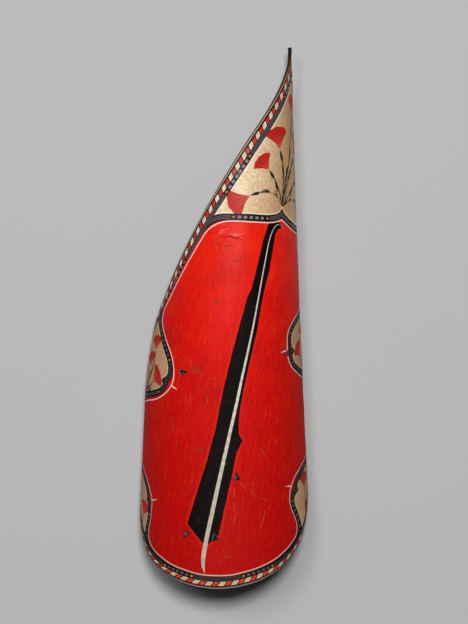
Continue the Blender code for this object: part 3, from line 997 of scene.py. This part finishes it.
def makeBoard():
    b = boardSizes
    bpy.ops.object.select_all(action="DESELECT")
    bpy.ops.mesh.primitive_grid_add(x_subdivisions=b["columns"], y_subdivisions=b["rows"], size=2.0)
    board = bpy.context.object
    board.name = "board_painted"
    mesh = board.data
    mesh.name = "board_painted"
    count = len(mesh.vertices)
    sheet = vectorsOf(mesh.vertices, "co")
    across = columnPlace((sheet[:, 0] + 1.0) / 2.0)
    share = rowPlace((1.0 - sheet[:, 1]) / 2.0)
    top = topOutline(across)
    foot = footOutline(across)
    drop = top + (foot - top) * share
    arc = across * halfWidth(drop)
    places = np.column_stack([arc, drop])
    rim = nearestOn(places, rimLine()[0])[0]
    print("board: outline laid out,", count, "points on the face")

    # the face is not dead true, and its edge is rubbed round
    uneven = brushWander(places, b["unevenSpan"], b["unevenness"]) * smooth(rim / b["unevenFrom"])
    rounding = b["rimRounding"] * (1.0 - smooth(rim / b["rimRoundingReach"]))
    swell = 1.0 - smooth(drop / b["pointSwellReach"])
    depth = rounding + np.abs(uneven) - b["pointSwell"] * swell
    mesh.vertices.foreach_set("co", (bend(arc, drop, depth) * mm).ravel())
    mesh.update()

    fields = paintFields(places)
    for name, values in fields.items():
        layer = mesh.attributes.new(name, "FLOAT", "POINT")
        layer.data.foreach_set("value", values.astype(np.float32))
    flat = mesh.attributes.new("flatPlace", "FLOAT_VECTOR", "POINT")
    flatPlaces = np.column_stack([arc, drop, np.zeros(count)])
    flat.data.foreach_set("vector", flatPlaces.astype(np.float32).ravel())
    print("board: pattern drawn")

    thick = b["rimThickness"] + (b["thickness"] - b["rimThickness"]) * smooth(rim / b["rimBevel"])
    thick = thick + b["pointSwell"] * b["pointSwellInside"] * swell
    group = board.vertex_groups.new(name="thickness")
    for i, weight in enumerate((thick - depth) / b["thickness"]):
        group.add([i], float(weight), "REPLACE")
    for material in (varnishedTempera(fields), linedHide(), rubbedEdge()):
        mesh.materials.append(material)
    wall = board.modifiers.new("wall", "SOLIDIFY")
    wall.thickness = b["thickness"] * mm
    wall.offset = -1.0
    wall.vertex_group = "thickness"
    wall.material_offset = 1
    wall.material_offset_rim = 2
    bpy.ops.object.modifier_apply(modifier="wall")
    board.vertex_groups.clear()

    # into the frame: the CAD board's box says where the middle is
    corners = vectorsOf(mesh.vertices, "co")
    low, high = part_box("shield_board")
    shift = (low[0] + high[0]) / 2.0 - (corners[:, 0].min() + corners[:, 0].max()) / 2.0
    corners[:, 0] += shift
    corners[:, 2] = np.maximum(corners[:, 2], 0.0)   # the long edges rest on the floor
    mesh.vertices.foreach_set("co", corners.ravel())
    mesh.update()
    bpy.ops.object.shade_smooth_by_angle(angle=math.radians(b["smoothAngle"]))
    layOutForBake(mesh)
    print("board:", len(mesh.polygons), "faces, moved", round(shift * 1000, 2), "mm across")
    return board, shift


bakeSizes = {
    "margin": 36.0,
    "stripLength": 400.0,
    "stripStart": 6.0,
    "stripStep": 9.0,
    "stripWidth": 5.0,
    "stripTop": 0.99,       # of the map's height
}


def layOutForBake(mesh):
    # outer face on the left half, lining on the right half, and the rim in short strips in the
    # empty corner beside the point
    s = bakeSizes
    while mesh.uv_layers:
        mesh.uv_layers.remove(mesh.uv_layers[0])
    uv = mesh.uv_layers.new(name="OFBake")
    flat = vectorsOf(mesh.attributes["flatPlace"].data, "vector")
    run = nearestOn(flat[:, :2], rimLine()[0])[2]
    outerCount = len(mesh.vertices) // 2
    corners = np.zeros(len(mesh.loops), int)
    mesh.loops.foreach_get("vertex_index", corners)
    half = 0.5 * boardSizes["length"] + s["margin"]
    place = np.zeros((len(corners), 2))
    place[:, 0] = (flat[corners, 0] + half / 2.0) / (2.0 * half)
    place[:, 1] = 1.0 - (flat[corners, 1] + s["margin"]) / (2.0 * half)
    for face in mesh.polygons:
        loops = slice(face.loop_start, face.loop_start + face.loop_total)
        if face.material_index == 1:
            place[loops, 0] += 0.5
        elif face.material_index == 2:
            verts = corners[loops]
            k = int(run[verts].min() // s["stripLength"])
            along = run[verts] - k * s["stripLength"]
            along = np.where(along > s["stripLength"] * 2.0, 0.0, along)   # where the rim's line closes
            inner = (verts >= outerCount).astype(float)
            across = s["stripStart"] + s["stripStep"] * k + s["stripWidth"] * inner
            place[loops, 0] = across / (2.0 * half)
            place[loops, 1] = s["stripTop"] - along / (2.0 * half)
    uv.data.foreach_set("uv", place.astype(np.float32).ravel())


nailSizes = {
    # place round from the crown line, height above the foot, turn in degrees, side of the head
    "nail_left_field": (-74.4, 365.0, 0.0, 16.5),
    "nail_beside_feather": (21.3, 188.0, 90.0, 16.0),
    "nail_feather_left": (-66.8, 92.0, 9.0, 14.0),
    "nail_feather_right": (-15.9, 87.0, -18.0, 17.0),
    "nail_right_cusp": (121.7, 397.0, 60.0, 13.0),
}
nailShape = {
    "sides": 12,
    "rise": 0.42,           # of the head's side
    "top": 0.06,            # what is left flat there, of the head's reach
    "gap": 0.3,
    "shankRadius": 1.5,
    "clinchReach": 13.0,
    "clinchBend": 2.2,
    "clinchSteps": 3,
    "clinchTurn": -30.0,    # degrees to a step
    "clinchGap": 0.5,
    "clinchPoint": 0.35,
    "edgeRounding": 0.45,
    "sharpAngle": 40.0,
    "fineness": 2,
    "hammered": 0.35,
    "hammerGrain": 0.32,
    "hammerFrom": 0.2,      # above the head's underside
    "smoothAngle": 50.0,
}


def forgedIron(name, rust):
    # hammered wrought iron under old varnish: near black, rubbed grey on the high places and rusty
    # in the hollows
    made, put, shader = freshMaterial(name)
    coords = put("TexCoord", {}, out=3)
    scale = put("TexNoise", {"Vector": coords, "Scale": 450.0, "Detail": 4.0, "Roughness": 0.6})
    dents = put("TexNoise", {"Vector": coords, "Scale": 180.0, "Detail": 2.0})
    wear = put("Mix", {0: 0.5, 2: scale, 3: dents}, data_type="FLOAT")
    tone = put("ValToRGB", [wear], stops=((0.40, "#0c0d0e"), (0.50, "#222526"), (0.60, "#959c9e")))
    rustPart = put("MapRange", [dents, 0.62 - rust, 0.80 - rust, 0.0, 0.85])
    rusted = coated(put, tone, [(rustPart, "#5a3216")])
    metal = put("MapRange", {0: rustPart, 3: 0.6, 4: 0.1})
    rough = put("MapRange", [scale, 0.3, 0.7, 0.62, 0.38])
    height = put("Math", [dents, 0.7, scale], "MULTIPLY_ADD")
    relief = put("Bump", {"Strength": 0.6, "Distance": 0.4 * mm, "Height": height})
    feed(shader, {"Base Color": rusted, "Metallic": metal, "Roughness": rough, "Normal": relief})
    return made


def nailFrame(arc, height, shift):
    # z out of the board and y towards the point, where the nail goes in
    drop = boardSizes["length"] - height
    near = 0.75

    def onFace(a, d):
        return Vector(bend(np.array(float(a)), np.array(float(d)), 0.0) * mm)

    along = (onFace(arc, drop - near) - onFace(arc, drop + near)).normalized()
    over = (onFace(arc + near, drop) - onFace(arc - near, drop)).normalized()
    out = over.cross(along).normalized()
    over = along.cross(out)
    turned = Matrix((over, along, out)).transposed().to_4x4()
    return Matrix.Translation(onFace(arc, drop) + Vector((shift, 0.0, 0.0))) @ turned


def makeNail(node, shift, material, seed):
    n = nailShape
    arc, height, turn, side = nailSizes[node]
    corner = side / math.sqrt(3.0)
    third = 2.0 * math.pi / 3.0
    top = n["gap"] + n["rise"] * side
    bpy.ops.object.select_all(action="DESELECT")
    bpy.ops.mesh.primitive_cone_add(
        vertices=n["sides"], radius1=corner, radius2=corner * n["top"],
        depth=top - n["gap"], location=(0.0, 0.0, (top + n["gap"]) / 2.0),
    )
    nail = bpy.context.object
    nail.name = node.replace("nail_", "forged_nail_")
    mesh = nail.data
    mesh.name = nail.name
    mesh.transform(nail.matrix_world)
    nail.matrix_world = Matrix.Identity(4)
    # the round cone becomes a pyramid on three sides
    for vertex in mesh.vertices:
        facing = math.atan2(vertex.co.y, vertex.co.x) - math.pi / 2.0
        size = vertex.co.xy.length / 2.0 / math.cos(facing % third - third / 2.0)
        vertex.co.x = size * math.cos(facing + math.radians(turn))
        vertex.co.y = size * math.sin(facing + math.radians(turn))
    # only the underside of the head is taken further
    bpy.ops.object.mode_set(mode="EDIT")
    bpy.ops.mesh.select_mode(type="FACE")
    bpy.ops.mesh.select_all(action="DESELECT")
    bpy.ops.object.mode_set(mode="OBJECT")
    for face in mesh.polygons:
        face.select = face.normal.z < -0.99
    bpy.ops.object.mode_set(mode="EDIT")
    bpy.ops.mesh.extrude_region_move()
    bpy.ops.object.mode_set(mode="OBJECT")
    # shank: a round ring under the head, then down through the board
    for vertex in mesh.vertices:
        if vertex.select:
            size = n["shankRadius"] / vertex.co.xy.length
            vertex.co.x *= size
            vertex.co.y *= size
    low = boardSizes["thickness"] + n["clinchGap"] + n["shankRadius"]
    bpy.ops.object.mode_set(mode="EDIT")
    down = -(low - n["clinchBend"] + n["gap"])
    bpy.ops.mesh.extrude_region_move(TRANSFORM_OT_translate={"value": (0.0, 0.0, down)})
    # clinch: bent over against the lining and drawn out to a point
    hub = (0.0, n["clinchBend"], n["clinchBend"] - low)
    for _ in range(n["clinchSteps"]):
        bpy.ops.mesh.extrude_region_move()
        bpy.ops.transform.rotate(
            value=math.radians(n["clinchTurn"]), orient_axis="X", center_override=hub,
        )
    bpy.ops.mesh.extrude_region_move(TRANSFORM_OT_translate={"value": (0.0, n["clinchReach"], 0.0)})
    bpy.ops.transform.resize(value=(n["clinchPoint"],) * 3)
    bpy.ops.mesh.select_all(action="SELECT")
    bpy.ops.mesh.normals_make_consistent(inside=False)
    bpy.ops.object.mode_set(mode="OBJECT")
    edges = nail.modifiers.new("edges", "BEVEL")
    edges.width = n["edgeRounding"]
    edges.segments = 2
    edges.limit_method = "ANGLE"
    edges.angle_limit = math.radians(n["sharpAngle"])
    bpy.ops.object.modifier_apply(modifier="edges")
    fine = nail.modifiers.new("fine", "SUBSURF")
    fine.subdivision_type = "SIMPLE"
    fine.levels = n["fineness"]
    fine.render_levels = n["fineness"]
    bpy.ops.object.modifier_apply(modifier="fine")
    # hammer marks, only on the head, and others on each
    for vertex in mesh.vertices:
        above = vertex.co.z - n["gap"]
        if above > n["hammerFrom"]:
            way = noise.noise_vector(vertex.co * n["hammerGrain"] + Vector((seed * 7.0, 0.0, 0.0)))
            vertex.co += way * n["hammered"] * min(1.0, above)
    mesh.transform(Matrix.Scale(mm, 4))
    mesh.transform(nailFrame(arc, height, shift))
    bpy.ops.object.shade_smooth_by_angle(angle=math.radians(n["smoothAngle"]))
    mesh.materials.append(material)
    return nail


board, shift = makeBoard()
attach(board, "root")
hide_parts("shield_board")

darkIron = forgedIron("hammered wrought iron", 0.0)
rustyIron = forgedIron("rusted wrought iron", 0.22)
for seed, node in enumerate(nailSizes):
    nail = makeNail(node, shift, rustyIron if node == "nail_right_cusp" else darkIron, seed)
    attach(nail, "root")
    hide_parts(node)
print("nails:", len(nailSizes))


# Stage, light and camera

stageSizes = {
    "floor": 9.0,
    "lightHeight": 6.0,
    "lightTilt": 10.4,      # degrees off the vertical
    "lightFrom": 77.0,      # degrees round from +X, so from beyond the point
    "lightSize": 1.0,
    "lightPower": 284.0,
    "fillTilt": 17.9,
    "fillFrom": 132.0,
    "fillSize": 1.6,
    "fillPower": 115.0,
    "roomLight": 0.05,
    "cameraPlace": (0.01728, 0.00322, 4.047),
    "lens": 131.9,
}


def paperFloor():
    # matte background paper: even pale grey with a barely visible tooth
    made, put, shader = freshMaterial("matte background paper")
    coords = put("TexCoord", {}, out=3)
    tooth = put("TexNoise", {"Vector": coords, "Scale": 300.0, "Detail": 3.0})
    tone = put("ValToRGB", [tooth], stops=((0.3, "#b2b2b2"), (0.7, "#b5b5b5")))
    feed(shader, {"Base Color": tone})
    shader.inputs["Roughness"].default_value = 0.95
    shader.inputs["Specular IOR Level"].default_value = 0.1
    return made


bpy.ops.object.select_all(action="DESELECT")
bpy.ops.mesh.primitive_plane_add(size=stageSizes["floor"])
floor = bpy.context.object
floor.name = "paper_floor"
floor.data.materials.append(paperFloor())

for name in ("light", "fill"):
    height = stageSizes["lightHeight"]
    reach = height * math.tan(math.radians(stageSizes[name + "Tilt"]))
    facing = math.radians(stageSizes[name + "From"])
    place = (reach * math.cos(facing), reach * math.sin(facing), height)
    bpy.ops.object.light_add(type="AREA", location=place)
    lamp = bpy.context.object
    lamp.name = "soft_" + name
    lamp.data.shape = "DISK"
    lamp.data.size = stageSizes[name + "Size"]
    lamp.data.energy = stageSizes[name + "Power"]
    lamp.rotation_euler = (-lamp.location).to_track_quat("-Z", "Y").to_euler()

room = bpy.data.worlds.new("pale room")
room.use_nodes = True
room.node_tree.nodes["Background"].inputs["Color"].default_value = paint("#e6e8ea")
room.node_tree.nodes["Background"].inputs["Strength"].default_value = stageSizes["roomLight"]
bpy.context.scene.world = room

bpy.ops.object.camera_add(location=stageSizes["cameraPlace"], rotation=(0.0, 0.0, 0.0))
camera = bpy.context.object
camera.name = "photo_camera"
camera.data.lens = stageSizes["lens"]
camera.data.sensor_width = 36.0
bpy.context.scene.camera = camera
bpy.context.scene.view_settings.view_transform = "Standard"
